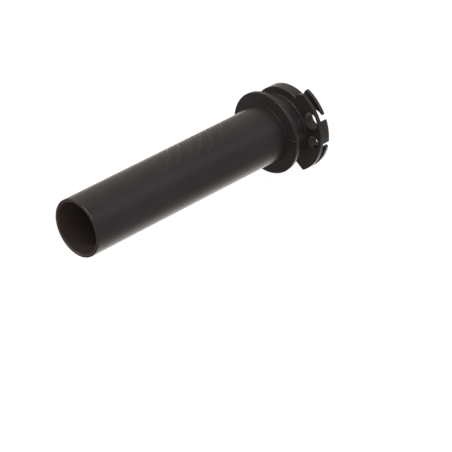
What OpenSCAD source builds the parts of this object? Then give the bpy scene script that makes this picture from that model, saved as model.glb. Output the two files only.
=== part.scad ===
// Throttle tube for a 22.2 mm (7/8 in) motorcycle handlebar.
// A moulded grip tube carries a flange, a drum and a keyed spigot.
// A separate cable guide plate slides over the spigot and holds the two throttle cable ends.
// +X runs along the tube from its open end to the cable guide, +Z is up,
// and the origin is on the axis at the open end.
// Angles are measured about +X, from +Y towards +Z.

/* [Grip tube] */
// Length of the plain tube, from its open end to the flange
tube_length = 108.5; // [95:0.5:130]
// Outside diameter of the tube, which the rubber grip slides over
tube_diameter = 25.4; // [25:0.1:26.4]
// Bore that turns on the handlebar
bore_diameter = 22.6; // [22.3:0.1:22.9]
// Rounding of the outer edge at the open end
mouth_round = 0.6; // [0.3:0.1:0.9]
// Lead-in chamfer of the bore at both ends
bore_chamfer = 0.4; // [0.2:0.1:0.6]

/* [Flange and drum] */
// Diameter of the flange that stops the rubber grip
flange_diameter = 36.9; // [34:0.1:40]
// Thickness of the flange
flange_thickness = 1.8; // [1.2:0.1:2.4]
// Fillet where the tube meets the flange
flange_fillet = 0.5; // [0.3:0.1:1.2]
// Fillet where the drum meets the flange
drum_fillet = 0.5; // [0.3:0.1:1]
// Diameter of the drum between the flange and the cable guide plate
drum_diameter = 27.8; // [27.4:0.1:28.6]
// Length of the drum
drum_length = 7.8; // [6:0.1:12]

/* [Spigot] */
// Diameter of the spigot that carries the cable guide plate
spigot_diameter = 26.0; // [25.2:0.1:26.2]
// How far the spigot stands out past the plate
spigot_proud = 1.0; // [0.4:0.1:2]
// Radial clearance between the spigot and the plate
slide_clearance = 0.05; // [0.03:0.01:0.08]
// Height of each key above the spigot
key_height = 0.8; // [0.6:0.1:0.9]
// Width of each key
key_width = 3.0; // [2:0.1:4]
// Gap between the drum's shoulder and the plate
shoulder_gap = 0.1; // [0.05:0.05:0.2]

/* [Cable guide plate] */
// Length of the collar between the drum and the plate's face
collar_length = 1.3; // [0.8:0.1:2]
// Diameter of that collar
collar_diameter = 28.6; // [28.4:0.1:28.7]
// Diameter of the plain part of the plate, which is also the floor of the cable groove
band_diameter = 34.2; // [33:0.1:35]
// Thickness of the plate
plate_thickness = 5.1; // [4.6:0.1:6]
// Radius of the raised sector's rim, about a centre of its own
sector_radius = 20.6; // [20.2:0.1:21.6]
// How far that centre lies off the axis, so that the pull quickens as the grip turns
sector_offset = 1.6; // [1:0.1:2]
// Thickness of the sector's wall on the flange side
near_wall = 1.6; // [1.2:0.1:2]
// Thickness of the sector's wall on the outer side
far_wall = 1.4; // [1:0.1:1.6]
// Angle at which the near wall begins
near_start = 115; // [110:0.5:122]
// Size of the corner cut off where the near wall begins
near_corner = 2.0; // [1:0.1:3]
// Angle at which the far wall begins
far_start = 116.5; // [112:0.5:122]
// Size of the corner cut off where the far wall begins
far_corner = 0.5; // [0.3:0.1:2]
// Angle at which both walls end, at their root
sector_end = 241.7; // [234:0.1:246]
// How much earlier the rim ends than the root
end_lean = 7.2; // [0:0.1:14]

/* [Cable end pockets] */
// Distance of both pockets from the axis
pocket_reach = 17.8; // [17.7:0.05:18]
// Angle of the opening cable's pocket
open_angle = 154.5; // [150:0.5:157]
// Radius of the opening cable's pocket
open_pocket = 3.7; // [3.4:0.05:3.8]
// Width of the slit that the opening cable drops through
open_slit = 2.3; // [2.1:0.1:3.2]
// Angle of the closing cable's pocket
close_angle = 187; // [184:0.5:192]
// Radius of the closing cable's pocket
close_pocket = 3.3; // [3:0.05:3.4]
// Width of the slit that the closing cable drops through
close_slit = 2.1; // [1.9:0.1:2.6]
// Width of the step that each cable end seats on
seat_step = 0.3; // [0.2:0.05:0.5]
// How much longer than round the opening pocket's window is
window_stretch = 1.0; // [0:0.1:1.2]

/* [Raised bars on the tube] */
// Number of slanted bars
bar_count = 6; // [3:1:7]
// Height of the bars above the tube
bar_height = 0.3; // [0.15:0.05:0.5]
// Width of each bar along the tube
bar_width = 3.0; // [2:0.1:4]
// Distance from one bar to the next
bar_pitch = 6.2; // [5:0.1:6.4]

/* [Hidden] */
$fn = 96;
sliver = 0.01;

bore_r = bore_diameter / 2;
tube_r = tube_diameter / 2;
flange_r = flange_diameter / 2;
drum_r = drum_diameter / 2;
spigot_r = spigot_diameter / 2;
collar_r = collar_diameter / 2;
band_r = band_diameter / 2;

// Places along the axis
drum_start = tube_length + flange_thickness;
shoulder = drum_start + drum_length;
plate_back = shoulder + shoulder_gap;
plate_face = plate_back + collar_length;
plate_end = plate_face + plate_thickness;
tube_end = plate_end + spigot_proud;
groove_start = plate_face + near_wall;
groove_end = plate_end - far_wall;

edge = 0.25;          // chamfer of moulded edges
sink = 0.3;           // how deep keys and bars are rooted in the body under them
reach = 40;           // a length well past the part
margin = 1;           // how far a cut runs past the face it opens
overrun = 10;         // how many degrees the groove's cut runs past the sector
key_angles = [5, 85, 270];
lean_radius = sector_radius + 2;    // radius at which the lean of the sector's end is measured
bars_start = 48.5;    // first bar's place along the tube
bars_angle = 92;      // the bars' middle, about the axis
bar_span = 12;        // length of a bar across the tube
bar_lean = 9;         // how far a bar leans along the tube
mark_angle = 171;     // index mark on the flange
mark_width = 0.6;
mark_height = 0.3;
mark_inset = 0.3;     // gap between the flange's fillet and the mark
mark_length = flange_r - tube_r - flange_fillet - 1;

// Turns a shape drawn about the z axis so that it lies about the tube's axis, starting at x
module along_tube(x = 0) {
    translate([x, 0, 0]) rotate([90, 0, 90]) children();
}

function polar(r, a) = [r * cos(a), r * sin(a)];

// Distance from the axis to the sector's rim at an angle
function rim_at(a) = -sector_offset * cos(a) + sqrt(sector_radius ^ 2 - (sector_offset * sin(a)) ^ 2);

// Half section of a turned ring, as radius and place, with chamfered outer edges
module ring_section(inner, outer, start, end, chamfer) {
    polygon([
        [inner, start], [outer - chamfer, start], [outer, start + chamfer],
        [outer, end - chamfer], [outer - chamfer, end], [inner, end]
    ]);
}

// Half section of a fillet at the foot of a flange; side is -1 before the flange and 1 behind it
module fillet_section(radius, x, size, side) {
    difference() {
        translate([radius - sliver, side < 0 ? x - size : x]) square([size + sliver, size]);
        translate([radius + size, x + side * size]) circle(size);
    }
}

// Half section of the waste outside a rounded edge at the open end
module mouth_waste() {
    translate([tube_r - mouth_round, -sliver]) difference() {
        square([mouth_round + margin, mouth_round + sliver]);
        translate([0, mouth_round + sliver]) circle(mouth_round);
    }
}

// Half section of a lead-in cone into the bore
module lead_in(x, side) {
    polygon([
        [bore_r - sliver, x + side * bore_chamfer], [bore_r - sliver, x - side * margin],
        [bore_r + bore_chamfer + margin, x - side * margin], [bore_r, x + side * bore_chamfer]
    ]);
}

module tube_section() {
    difference() {
        union() {
            translate([bore_r, 0]) square([tube_r - bore_r, tube_length + sliver]);
            fillet_section(tube_r, tube_length, flange_fillet, -1);
            ring_section(bore_r, flange_r, tube_length, drum_start, edge);
            fillet_section(drum_r, drum_start, drum_fillet, 1);
            ring_section(bore_r, drum_r, drum_start - edge, shoulder, edge);
            ring_section(bore_r, spigot_r, shoulder - edge, tube_end, edge);
        }
        mouth_waste();
        lead_in(0, 1);
        lead_in(tube_end, -1);
    }
}

// Cross-section of the three keys, which line the plate up one way only
module key_outline(extra) {
    root = spigot_r - 2 * sink;
    for (angle = key_angles)
        rotate(angle) translate([root, -key_width / 2 - extra])
            square([spigot_r + key_height + extra - root, key_width + 2 * extra]);
}

// Plain slanted bars that stand proud of the tube
module raised_bars() {
    lean = bar_lean / 2;
    intersection() {
        along_tube() difference() {
            cylinder(r = tube_r + bar_height, h = tube_length);
            translate([0, 0, -margin]) cylinder(r = tube_r - sink, h = tube_length + 2 * margin);
        }
        rotate([bars_angle - 90, 0, 0]) for (i = [0 : bar_count - 1])
            translate([bars_start + i * bar_pitch, 0, 0]) linear_extrude(tube_r + margin)
                polygon([
                    [-lean, -bar_span / 2], [bar_width - lean, -bar_span / 2],
                    [bar_width + lean, bar_span / 2], [lean, bar_span / 2]
                ]);
    }
}

// Short radial mark on the flange that shows the closed position
module index_mark() {
    along_tube(tube_length - mark_height) rotate(mark_angle)
        translate([tube_r + flange_fillet + mark_inset, -mark_width / 2, 0])
            cube([mark_length, mark_width, mark_height + edge]);
}

module grip_tube() {
    color([0.13, 0.12, 0.12]) union() {
        along_tube() rotate_extrude() tube_section();
        along_tube(shoulder - edge) linear_extrude(tube_end - shoulder)
            difference() {
                key_outline(0);
                circle(spigot_r - sink);
            }
        raised_bars();
        index_mark();
    }
}

// Wedge of the plane between two angles, drawn well past the part
module wedge(from, to) {
    polygon([[0, 0], polar(reach, from), polar(2 * reach, (from + to) / 2), polar(reach, to)]);
}

// Outline of the sector from an angle on, with its first corner cut off and its far end leaning back
module sector_outline(start, corner) {
    turn = atan(corner / rim_at(start));
    corner_low = polar(rim_at(start) - corner, start);
    corner_high = polar(rim_at(start + turn), start + turn);
    corner_out = corner_high + reach * (corner_high - corner_low) / corner;
    end_root = polar(band_r, sector_end);
    end_rim = polar(lean_radius, sector_end - end_lean);
    intersection() {
        translate([-sector_offset, 0]) circle(sector_radius);
        polygon([
            [0, 0], corner_low, corner_out,
            [-2 * reach, reach], [-2 * reach, -reach], [end_rim[0], -reach], end_rim, end_root
        ]);
    }
}

// One pocket for a cable end, with its seat, its slit and a window through the near wall.
// The window is longer than round by the stretch.
module pocket(angle, radius, slit, stretch) {
    window = radius - seat_step;
    rotate(angle) translate([pocket_reach, 0, 0]) {
        for (shift = stretch > 0 ? [-stretch / 2, stretch / 2] : [0])
            translate([0, shift, plate_face - margin]) cylinder(r = window, h = plate_thickness);
        translate([0, 0, groove_start]) cylinder(r = radius, h = plate_thickness);
        translate([0, -slit / 2, groove_start]) cube([sector_radius, slit, plate_thickness]);
    }
}

// The waste of the cable groove on one side of the block between the pockets
module groove(from, to) {
    translate([0, 0, groove_start]) linear_extrude(groove_end - groove_start) difference() {
        wedge(from, to);
        circle(band_r);
    }
}

module cable_guide_plate() {
    block_start = open_angle + asin(open_slit / 2 / rim_at(open_angle));
    block_end = close_angle - asin(close_slit / 2 / rim_at(close_angle));
    bore = spigot_r + slide_clearance;
    through = collar_length + plate_thickness + 2 * margin;
    color([0.15, 0.14, 0.14]) along_tube() difference() {
        union() {
            rotate_extrude() ring_section(bore, collar_r, plate_back, plate_face + edge, edge);
            rotate_extrude() ring_section(bore, band_r, plate_face, plate_end, edge);
            translate([0, 0, plate_face])
                linear_extrude(near_wall + sliver) sector_outline(near_start, near_corner);
            translate([0, 0, groove_start])
                linear_extrude(plate_end - groove_start) sector_outline(far_start, far_corner);
        }
        translate([0, 0, plate_back - margin]) cylinder(r = bore, h = through);
        translate([0, 0, plate_back - margin]) linear_extrude(through) key_outline(slide_clearance);
        groove(far_start - overrun, block_start);
        groove(block_end, sector_end + overrun);
        pocket(open_angle, open_pocket, open_slit, window_stretch);
        pocket(close_angle, close_pocket, close_slit, 0);
    }
}

grip_tube();
cable_guide_plate();
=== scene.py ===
import math

import bmesh
import bpy
from mathutils import Matrix, Vector

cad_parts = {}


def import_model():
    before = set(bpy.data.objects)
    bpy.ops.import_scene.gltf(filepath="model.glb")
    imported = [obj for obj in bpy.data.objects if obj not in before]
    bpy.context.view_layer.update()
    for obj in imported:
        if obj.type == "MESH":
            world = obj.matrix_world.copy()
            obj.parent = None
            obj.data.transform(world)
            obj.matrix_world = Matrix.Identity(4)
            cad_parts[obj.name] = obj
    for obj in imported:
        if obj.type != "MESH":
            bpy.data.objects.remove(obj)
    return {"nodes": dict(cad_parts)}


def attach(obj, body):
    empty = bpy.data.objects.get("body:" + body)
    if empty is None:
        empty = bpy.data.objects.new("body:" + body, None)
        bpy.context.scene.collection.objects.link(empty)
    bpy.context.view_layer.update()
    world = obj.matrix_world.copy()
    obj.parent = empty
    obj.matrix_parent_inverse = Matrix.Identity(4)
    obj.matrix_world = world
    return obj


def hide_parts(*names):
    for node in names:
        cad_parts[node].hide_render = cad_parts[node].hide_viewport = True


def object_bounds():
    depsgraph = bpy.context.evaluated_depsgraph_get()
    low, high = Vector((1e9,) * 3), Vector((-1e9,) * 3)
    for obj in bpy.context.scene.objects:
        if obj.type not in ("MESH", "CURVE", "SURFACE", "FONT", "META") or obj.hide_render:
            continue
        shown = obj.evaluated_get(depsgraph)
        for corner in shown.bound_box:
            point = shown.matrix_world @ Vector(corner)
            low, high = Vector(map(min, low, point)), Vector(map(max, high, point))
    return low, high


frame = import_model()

CAD_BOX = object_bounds()
MM = 0.001

# Sizes of the part, in millimetres. X runs along the tube from its open end.
BORE_R = 11.3
TUBE_R = 12.7
FLANGE_R = 18.45
DRUM_R = 13.9
SPIGOT_R = 13.0
TUBE_LENGTH = 108.5
DRUM_START = 110.3
SHOULDER = 118.1
TUBE_END = 125.6
LEAD_IN = 0.4
KEY_ANGLES = (5, 85, 270)
KEY_TOP_R = 13.8
KEY_WIDTH = 3.0
BAR_COUNT = 6
BAR_START = 48.5
BAR_PITCH = 6.2
BAR_WIDTH = 3.0
BAR_SPAN = 12.0
BAR_LEAN = 4.5
BAR_ANGLE = 92
BAR_HEIGHT = 0.3
MARK_ANGLE = 171
MARK_R = (13.5, 17.7)
MARK_WIDTH = 0.6
MARK_HEIGHT = 0.3

# The far wall's rim is painted paler as a painted highlight: the part of the plate past FAR_WALL and outside
# RIM_R.
FAR_WALL = 123.1
RIM_R = 19.2
RIM_HIGHLIGHT_PAINT = 0.9

# How deep a raised rib is sunk into the face under it, so that no gap shows.
SINK = 0.04
# How much paler the tops of the bars and of the index mark are painted.
BAR_WEAR = 0.15
MARK_WEAR = 1.0

TURN_STEPS = 288
# The attribute marking edges painted paler (partly rubbing, partly painted highlight), corners painted
# darker (painted shade) and the far wall's rim painted as a highlight.
RUB_AND_PAINTED_LIGHT = "edge_rub_and_painted_light"
FLOOR_ALBEDO = 0.35
FLOOR_GLOW = 0.95
FLOOR_GAP = 0.0002

# The bore's wall, inside this radius, is painted paler and browner than the outside, as painted light that
# brightens the bore.
BORE_PAINT_R = (11.9, 12.1)

SURROUND = (0.19, 0.19, 0.19)
# Each glow: its colour, its direction, the cosines where it starts and is full, and whether it fades
# out towards the tube's open end.
GLOWS = (
    ((0.29, 0.28, 0.26), (0, 0.75, -0.66), -0.6, 0.4, True),
    ((1.30, 1.24, 1.15), (0.606, 0.35, -0.72), 0.6, 1.0, True),
    ((1.45, 1.36, 1.20), (0.606, 0.60, -0.53), 0.78, 0.97, True),
    ((0.08, 0.09, 0.13), (0.606, -0.60, 0.52), 0.60, 1.0, True),
    ((0.23, 0.22, 0.195), (0.2, 0.45, 0.9), 0.1, 0.9, True),
    ((0.04, 0.04, 0.035), (-1.0, -0.5, 0.3), -0.2, 0.9, False),
)

# The view: the camera looks at a point beside the tube's open end, from its front left and above.
AZIMUTH = math.radians(-45.4)
ELEVATION = math.radians(31.7)
DISTANCE = 0.960
AIM_RIGHT = 0.0596
AIM_UP = 0.0011
LENS = 192.1


def camera():
    """A long lens, looking from the front left and above."""
    back = Vector((
        math.sin(AZIMUTH) * math.cos(ELEVATION),
        -math.cos(AZIMUTH) * math.cos(ELEVATION),
        math.sin(ELEVATION),
    ))
    right = Vector((math.cos(AZIMUTH), math.sin(AZIMUTH), 0.0))
    up = back.cross(right)
    aim = right * AIM_RIGHT + up * AIM_UP
    data = bpy.data.cameras.new("camera")
    data.lens = LENS
    data.sensor_width = 36.0
    data.clip_end = 20.0
    obj = bpy.data.objects.new("camera", data)
    obj.location = aim + back * DISTANCE
    obj.rotation_euler = back.to_track_quat("Z", "Y").to_euler()
    bpy.context.collection.objects.link(obj)
    bpy.context.scene.camera = obj


def around(x, radius, angle):
    """A point at a place along the tube, a radius and an angle from +Y towards +Z, all in mm and degrees."""
    turn = math.radians(angle)
    return Vector((x, radius * math.cos(turn), radius * math.sin(turn))) * MM


def link(bm, name):
    """Makes a smooth-shaded object of a bmesh."""
    bmesh.ops.recalc_face_normals(bm, faces=bm.faces)
    for face in bm.faces:
        face.smooth = True
    mesh = bpy.data.meshes.new(name)
    bm.to_mesh(mesh)
    bm.free()
    if "custom_normal" in mesh.attributes:
        mesh.attributes.remove(mesh.attributes["custom_normal"])
    obj = bpy.data.objects.new(name, mesh)
    bpy.context.collection.objects.link(obj)
    return obj


def rounded(corners, steps=6):
    """Half section from corners (x, radius, rounding). Returns its points, each with its paint value.

    The value is 1 on an outward edge, which is painted paler, partly as rubbing and partly as a painted
    highlight, and -1 in a corner, which is painted darker as painted shade.
    """
    points = []
    for i, (x, r, size) in enumerate(corners):
        here = Vector((x, r))
        before = (Vector(corners[i - 1][:2]) - here).normalized()
        after = (Vector(corners[(i + 1) % len(corners)][:2]) - here).normalized()
        opening = before.angle(after)
        if size == 0:
            points.append((here, 0.0))
            continue
        centre = here + (before + after).normalized() * size / math.sin(opening / 2)
        start = here + before * size / math.tan(opening / 2) - centre
        end = here + after * size / math.tan(opening / 2) - centre
        sweep = start.angle_signed(end)
        # Outward edges get 1, painted paler; corners get -1, painted darker as painted shade.
        rub_and_painted_light_amount = 1.0 if before.x * after.y > before.y * after.x else -1.0
        for k in range(steps + 1):
            turned = Matrix.Rotation(-sweep * k / steps, 2) @ start
            points.append((centre + turned, rub_and_painted_light_amount if 0 < k < steps else 0.0))
    return points


def lathe(bm, corners):
    """Turns a rounded half section about the X axis."""
    section = rounded(corners)
    rub_and_painted_light = bm.verts.layers.float.get(RUB_AND_PAINTED_LIGHT) or bm.verts.layers.float.new(RUB_AND_PAINTED_LIGHT)
    rings = []
    for step in range(TURN_STEPS):
        ring = []
        for point, rub_and_painted_light_amount in section:
            vert = bm.verts.new(around(point.x, point.y, 360 * step / TURN_STEPS))
            vert[rub_and_painted_light] = rub_and_painted_light_amount
            ring.append(vert)
        rings.append(ring)
    count = len(section)
    for step in range(TURN_STEPS):
        here, following = rings[step], rings[(step + 1) % TURN_STEPS]
        for i in range(count):
            j = (i + 1) % count
            bm.faces.new((here[i], here[j], following[j], following[i]))


def patch(bm, place, length_steps, width_steps, height, edge, rub_and_painted_light_amount):
    """A raised rib with rounded edges. place(u, v, h) gives a point for u and v from 0 to 1.

    edge is the share of u and of v over which the rib rises to its height, and the last argument is how much
    paler its top is painted. The rib's foot is painted darker as painted shade, and its rising edges paler,
    partly as rubbing and partly as a painted highlight.
    """
    rub_and_painted_light = bm.verts.layers.float.get(RUB_AND_PAINTED_LIGHT)

    def rise(t, share):
        inside = min(1.0, max(0.0, min(t, 1 - t) / share))
        return math.sin(inside * math.pi / 2)

    grid = []
    for a in range(length_steps + 1):
        # Rows bunch up towards both ends, where the rib is rounded.
        u = 0.5 - 0.5 * math.cos(math.pi * a / length_steps)
        row = []
        for b in range(width_steps + 1):
            v = 0.5 - 0.5 * math.cos(math.pi * b / width_steps)
            lift = rise(u, edge[0]) * rise(v, edge[1])
            vert = bm.verts.new(place(u, v, height * lift - SINK))
            # The rib's foot gets -1, painted darker as painted shade; its rising edges get 1, painted paler.
            vert[rub_and_painted_light] = -1.0 if lift < 0.3 else 1.0 if lift < 0.995 else rub_and_painted_light_amount
            row.append(vert)
        grid.append(row)
    for a in range(length_steps):
        for b in range(width_steps):
            bm.faces.new((grid[a][b], grid[a + 1][b], grid[a + 1][b + 1], grid[a][b + 1]))


def bar_place(index):
    """Where slanted bar number index lies on the tube."""
    def place(u, v, h):
        flat = BAR_SPAN * (u - 0.5)
        x = BAR_START + BAR_PITCH * index + BAR_LEAN * (2 * u - 1) + BAR_WIDTH * v
        return around(x, TUBE_R + h, BAR_ANGLE - math.degrees(math.asin(flat / TUBE_R)))
    return place


def mark_place(u, v, h):
    """Where the index mark lies on the flange's face."""
    radius = MARK_R[0] + (MARK_R[1] - MARK_R[0]) * u
    side = math.degrees(math.atan2(MARK_WIDTH * (1.7 - u) * (v - 0.5), radius))
    return around(TUBE_LENGTH - h, radius, MARK_ANGLE + side)


def key(bm, angle):
    """One key on the spigot, which lines up the cable guide plate."""
    start, end = SHOULDER - 0.2, TUBE_END - 0.25
    low = SPIGOT_R - 0.3
    size = Vector((end - start, KEY_TOP_R - low, KEY_WIDTH)) * MM
    middle = Vector(((start + end) / 2, (KEY_TOP_R + low) / 2, 0)) * MM
    turn = Matrix.Rotation(math.radians(angle), 4, "X")
    matrix = turn @ Matrix.Translation(middle) @ Matrix.Diagonal((*size, 1))
    made = bmesh.ops.create_cube(bm, size=1, matrix=matrix)["verts"]
    edges = {e for v in made for e in v.link_edges}
    bmesh.ops.bevel(bm, geom=list(edges), offset=0.15 * MM, segments=2, profile=0.5, affect="EDGES")


def grip_tube():
    """The turned tube with its flange, drum and keyed spigot, its bars and its index mark."""
    bm = bmesh.new()
    lathe(bm, [
        (0, BORE_R + LEAD_IN, 0.12), (0, TUBE_R, 0.6),
        (TUBE_LENGTH, TUBE_R, 0.5), (TUBE_LENGTH, FLANGE_R, 0.32),
        (DRUM_START, FLANGE_R, 0.3), (DRUM_START, DRUM_R, 0.5),
        (SHOULDER, DRUM_R, 0.3), (SHOULDER, SPIGOT_R, 0.1),
        (TUBE_END, SPIGOT_R, 0.25), (TUBE_END, BORE_R + LEAD_IN, 0.12),
        (TUBE_END - LEAD_IN, BORE_R, 0.1), (LEAD_IN, BORE_R, 0.1),
    ])
    for index in range(BAR_COUNT):
        patch(bm, bar_place(index), 40, 24, BAR_HEIGHT + SINK, (0.045, 0.14), BAR_WEAR)
    patch(bm, mark_place, 24, 12, MARK_HEIGHT + SINK, (0.08, 0.4), MARK_WEAR)
    for angle in KEY_ANGLES:
        key(bm, angle)
    return link(bm, "throttle_tube")


def guide_plate(node):
    """The cable guide plate: the CAD node's form with its moulded edges rounded."""
    bm = bmesh.new()
    bm.from_mesh(node.data)
    rub_and_painted_light = bm.verts.layers.float.new(RUB_AND_PAINTED_LIGHT)
    bmesh.ops.remove_doubles(bm, verts=bm.verts, dist=0.002 * MM)
    bmesh.ops.dissolve_limit(
        bm, angle_limit=math.radians(1), verts=bm.verts, edges=bm.edges, delimit=set()
    )
    sharp = [e for e in bm.edges if e.is_manifold and e.calc_face_angle() > math.radians(28)]
    made = bmesh.ops.bevel(
        bm, geom=sharp, offset=0.22 * MM, segments=3, profile=0.5, affect="EDGES", clamp_overlap=True
    )
    rounding = set(made["faces"])
    for vert in bm.verts:
        if rounding.issuperset(vert.link_faces):
            vert[rub_and_painted_light] = 1.0
        # Painted highlight: the far wall's rim is painted paler.
        elif vert.co.x > FAR_WALL * MM and vert.co.yz.length > RIM_R * MM:
            vert[rub_and_painted_light] = RIM_HIGHLIGHT_PAINT
    obj = link(bm, "guide_plate")
    shading = obj.modifiers.new("flat_faces", "WEIGHTED_NORMAL")
    shading.weight = 100
    return obj


def plastic(name, colour, roughness, grain, seed):
    """Satin moulded plastic: fine grain, drawn-out scuffs along X, edges painted paler (partly rubbing,
    partly painted highlight), corners painted darker as painted shade.
    """
    mat = bpy.data.materials.new(name)
    mat.use_nodes = True
    nodes, links = mat.node_tree.nodes, mat.node_tree.links
    shader = nodes["Principled BSDF"]
    place = nodes.new("ShaderNodeTexCoord").outputs["Object"]

    def noise(scale, detail, stretch=(1, 1, 1)):
        mapping = nodes.new("ShaderNodeMapping")
        mapping.inputs["Location"].default_value = (seed, seed, seed)
        mapping.inputs["Scale"].default_value = [scale * s for s in stretch]
        links.new(place, mapping.inputs["Vector"])
        texture = nodes.new("ShaderNodeTexNoise")
        texture.inputs["Scale"].default_value = 1
        texture.inputs["Detail"].default_value = detail
        links.new(mapping.outputs["Vector"], texture.inputs["Vector"])
        return texture.outputs["Fac"]

    def ramp(value, low, high, start, end):
        mapped = nodes.new("ShaderNodeMapRange")
        mapped.inputs["From Min"].default_value = low
        mapped.inputs["From Max"].default_value = high
        mapped.inputs["To Min"].default_value = start
        mapped.inputs["To Max"].default_value = end
        links.new(value, mapped.inputs["Value"])
        return mapped.outputs["Result"]

    def combine(operation, a, b):
        node = nodes.new("ShaderNodeMath")
        node.operation = operation
        for socket, value in zip(node.inputs, (a, b)):
            if isinstance(value, (int, float)):
                socket.default_value = value
            else:
                links.new(value, socket)
        return node.outputs["Value"]

    def mix(factor, a, b):
        node = nodes.new("ShaderNodeMix")
        node.data_type = "RGBA"
        links.new(factor, node.inputs["Factor"])
        for socket, value in zip((node.inputs["A"], node.inputs["B"]), (a, b)):
            if isinstance(value, tuple):
                socket.default_value = (*value, 1)
            else:
                links.new(value, socket)
        return node.outputs["Result"]

    def radius():
        """Distance from the tube's axis."""
        across = nodes.new("ShaderNodeVectorMath")
        across.operation = "MULTIPLY"
        across.inputs[1].default_value = (0, 1, 1)
        links.new(place, across.inputs[0])
        length = nodes.new("ShaderNodeVectorMath")
        length.operation = "LENGTH"
        links.new(across.outputs["Vector"], length.inputs[0])
        return length.outputs["Value"]

    mottle = noise(70, 4)
    speckle = noise(2600, 2)
    scuffs = noise(1, 5, (45, 1500, 1500))
    bands = noise(1, 3, (9, 240, 240))
    fine = noise(grain, 3)

    # Edges are painted paler, partly as rubbing and partly as painted highlight.
    rub_and_painted_light = nodes.new("ShaderNodeAttribute")
    rub_and_painted_light.attribute_name = RUB_AND_PAINTED_LIGHT
    rub_and_painted_light_amount = ramp(rub_and_painted_light.outputs["Fac"], 0, 1, 0, 1)
    rub_and_painted_light_amount = combine("MULTIPLY", rub_and_painted_light_amount, ramp(noise(420, 4), 0.38, 0.62, 0.25, 1.0))
    # Painted shade: corners and the feet of ribs are painted darker, and made rougher.
    painted_corner_shade = ramp(rub_and_painted_light.outputs["Fac"], -1, 0, 1, 0)
    streak = ramp(scuffs, 0.62, 0.78, 0.0, 0.5)

    dark = (colour[0] * 0.86, colour[1] * 0.89, colour[2] * 0.80)
    light = (colour[0] * 1.12, colour[1] * 1.10, colour[2] * 1.18)
    pale = tuple(c * 1.6 + 0.012 for c in colour)
    # Painted light: the bore's wall is painted paler and browner to brighten it.
    painted_bore_light = (colour[0] * 2.2 + 0.034, colour[1] * 2.2 + 0.028, colour[2] * 1.9 + 0.020)
    base = mix(ramp(combine("ADD", mottle, bands), 0.75, 1.25, 0, 1), dark, light)
    base = mix(ramp(speckle, 0.62, 0.75, 0.0, 0.35), base, pale)
    base = mix(streak, base, pale)
    # Edges painted paler: partly rubbing, partly painted highlight.
    base = mix(ramp(rub_and_painted_light_amount, 0, 1, 0, 0.9), base, pale)
    # Painted shade in the corners and at the feet of ribs.
    base = mix(ramp(painted_corner_shade, 0, 1, 0, 0.6), base, tuple(c * 0.45 for c in colour))
    inner, outer = BORE_PAINT_R
    # The bore's wall gets the painted light colour.
    base = mix(ramp(radius(), inner * MM, outer * MM, 0.75, 0.0), base, painted_bore_light)
    links.new(base, shader.inputs["Base Color"])

    rough = ramp(bands, 0.3, 0.7, roughness - 0.05, roughness + 0.05)
    rough = combine("ADD", rough, ramp(streak, 0, 0.6, 0, 0.08))
    rough = combine("SUBTRACT", rough, ramp(rub_and_painted_light_amount, 0, 1, 0, 0.10))
    rough = combine("ADD", rough, ramp(painted_corner_shade, 0, 1, 0, 0.25))
    links.new(rough, shader.inputs["Roughness"])

    height = combine("ADD", ramp(fine, 0, 1, 0, 1), ramp(scuffs, 0.60, 0.80, 0, -0.5))
    bump = nodes.new("ShaderNodeBump")
    bump.inputs["Strength"].default_value = 0.22
    bump.inputs["Distance"].default_value = 0.05 * MM
    links.new(height, bump.inputs["Height"])
    links.new(bump.outputs["Normal"], shader.inputs["Normal"])
    shader.inputs["IOR"].default_value = 1.48
    return mat


def floor(z):
    """A plain pale floor under the part, as bright as a lit studio sweep.

    It doesn't light the part: the surround does that from below too, as light bounced off the floor would.
    """
    bm = bmesh.new()
    bmesh.ops.create_grid(bm, x_segments=2, y_segments=2, size=4.0)
    obj = link(bm, "studio_floor")
    obj.location.z = z
    obj.visible_diffuse = False
    obj.visible_glossy = False
    obj.visible_shadow = False
    mat = bpy.data.materials.new("pale_floor")
    mat.use_nodes = True
    shader = mat.node_tree.nodes["Principled BSDF"]
    shader.inputs["Base Color"].default_value = (FLOOR_ALBEDO, FLOOR_ALBEDO, FLOOR_ALBEDO, 1)
    shader.inputs["Roughness"].default_value = 1.0
    shader.inputs["Specular IOR Level"].default_value = 0.0
    shader.inputs["Emission Color"].default_value = (1, 1, 1, 1)
    shader.inputs["Emission Strength"].default_value = FLOOR_GLOW
    obj.data.materials.append(mat)


def softbox(name, place, target, size, power, colour=(1, 1, 1), diffuse=True):
    """A soft area light that points at a target. Without diffuse it only shows as a reflection."""
    data = bpy.data.lights.new(name, "AREA")
    data.shape = "RECTANGLE"
    data.size, data.size_y = size
    data.energy = power
    data.color = colour
    obj = bpy.data.objects.new(name, data)
    obj.location = place
    obj.rotation_euler = (Vector(place) - Vector(target)).to_track_quat("Z", "Y").to_euler()
    obj.visible_camera = False
    obj.visible_diffuse = diffuse
    bpy.context.collection.objects.link(obj)


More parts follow.
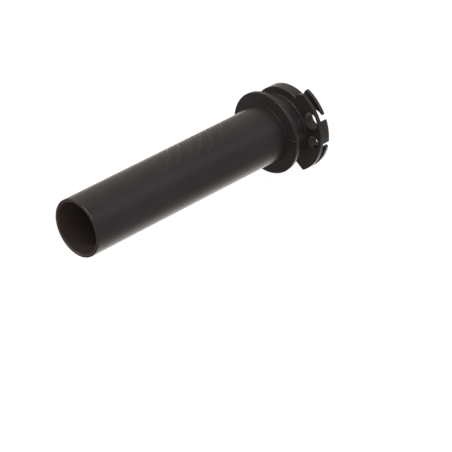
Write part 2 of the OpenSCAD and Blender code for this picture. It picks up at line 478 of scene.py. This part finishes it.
def world(base, glows):
    """A dim surround with soft glows, listed as in GLOWS."""
    data = bpy.data.worlds.new("studio")
    data.use_nodes = True
    nodes, links = data.node_tree.nodes, data.node_tree.links
    place = nodes.new("ShaderNodeTexCoord").outputs["Generated"]

    def along(direction, start, end):
        dot = nodes.new("ShaderNodeVectorMath")
        dot.operation = "DOT_PRODUCT"
        dot.inputs[1].default_value = Vector(direction).normalized()
        links.new(place, dot.inputs[0])
        mapped = nodes.new("ShaderNodeMapRange")
        mapped.interpolation_type = "SMOOTHSTEP"
        mapped.inputs["From Min"].default_value = start
        mapped.inputs["From Max"].default_value = end
        links.new(dot.outputs["Value"], mapped.inputs["Value"])
        return mapped.outputs["Result"]

    def combine(operation, a, b):
        node = nodes.new("ShaderNodeVectorMath")
        node.operation = operation
        for socket, value in zip(node.inputs, (a, b)):
            if isinstance(value, tuple):
                socket.default_value = value
            else:
                links.new(value, socket)
        return node.outputs["Vector"]

    total = base
    for colour, direction, start, end, fades in glows:
        glow = combine("MULTIPLY", along(direction, start, end), colour)
        if fades:
            glow = combine("MULTIPLY", glow, along((1, 0, 0), -0.3, 0.4))
        total = combine("ADD", glow, total)
    links.new(total, nodes["Background"].inputs["Color"])
    nodes["Background"].inputs["Strength"].default_value = 1.0
    bpy.context.scene.world = data


camera()
world(SURROUND, GLOWS)
bpy.context.scene.view_settings.view_transform = "Standard"

tube = grip_tube()
tube.data.materials.append(plastic("tube_plastic", (0.077, 0.056, 0.055), 0.38, 3400, 0))
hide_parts("grip_tube")
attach(tube, "tube")

plate = guide_plate(frame["nodes"]["cable_guide_plate"])
plate.data.materials.append(plastic("guide_plastic", (0.082, 0.064, 0.055), 0.44, 3000, 7))
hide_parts("cable_guide_plate")
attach(plate, "guide")

floor(CAD_BOX[0][2] - FLOOR_GAP)
softbox("rim_light", (-0.35, 0.50, 0.46), (0.06, 0, 0), (0.14, 0.14), 0.6)
softbox("strip_light", (0.30, -0.485, 0.495), (0.30, 0, 0), (1.2, 0.14), 0.38, (0.90, 0.92, 1.0))
softbox("edge_light", (-0.20, -0.10, 0.42), (0.06, 0, 0), (0.36, 0.12), 1.4, diffuse=False)
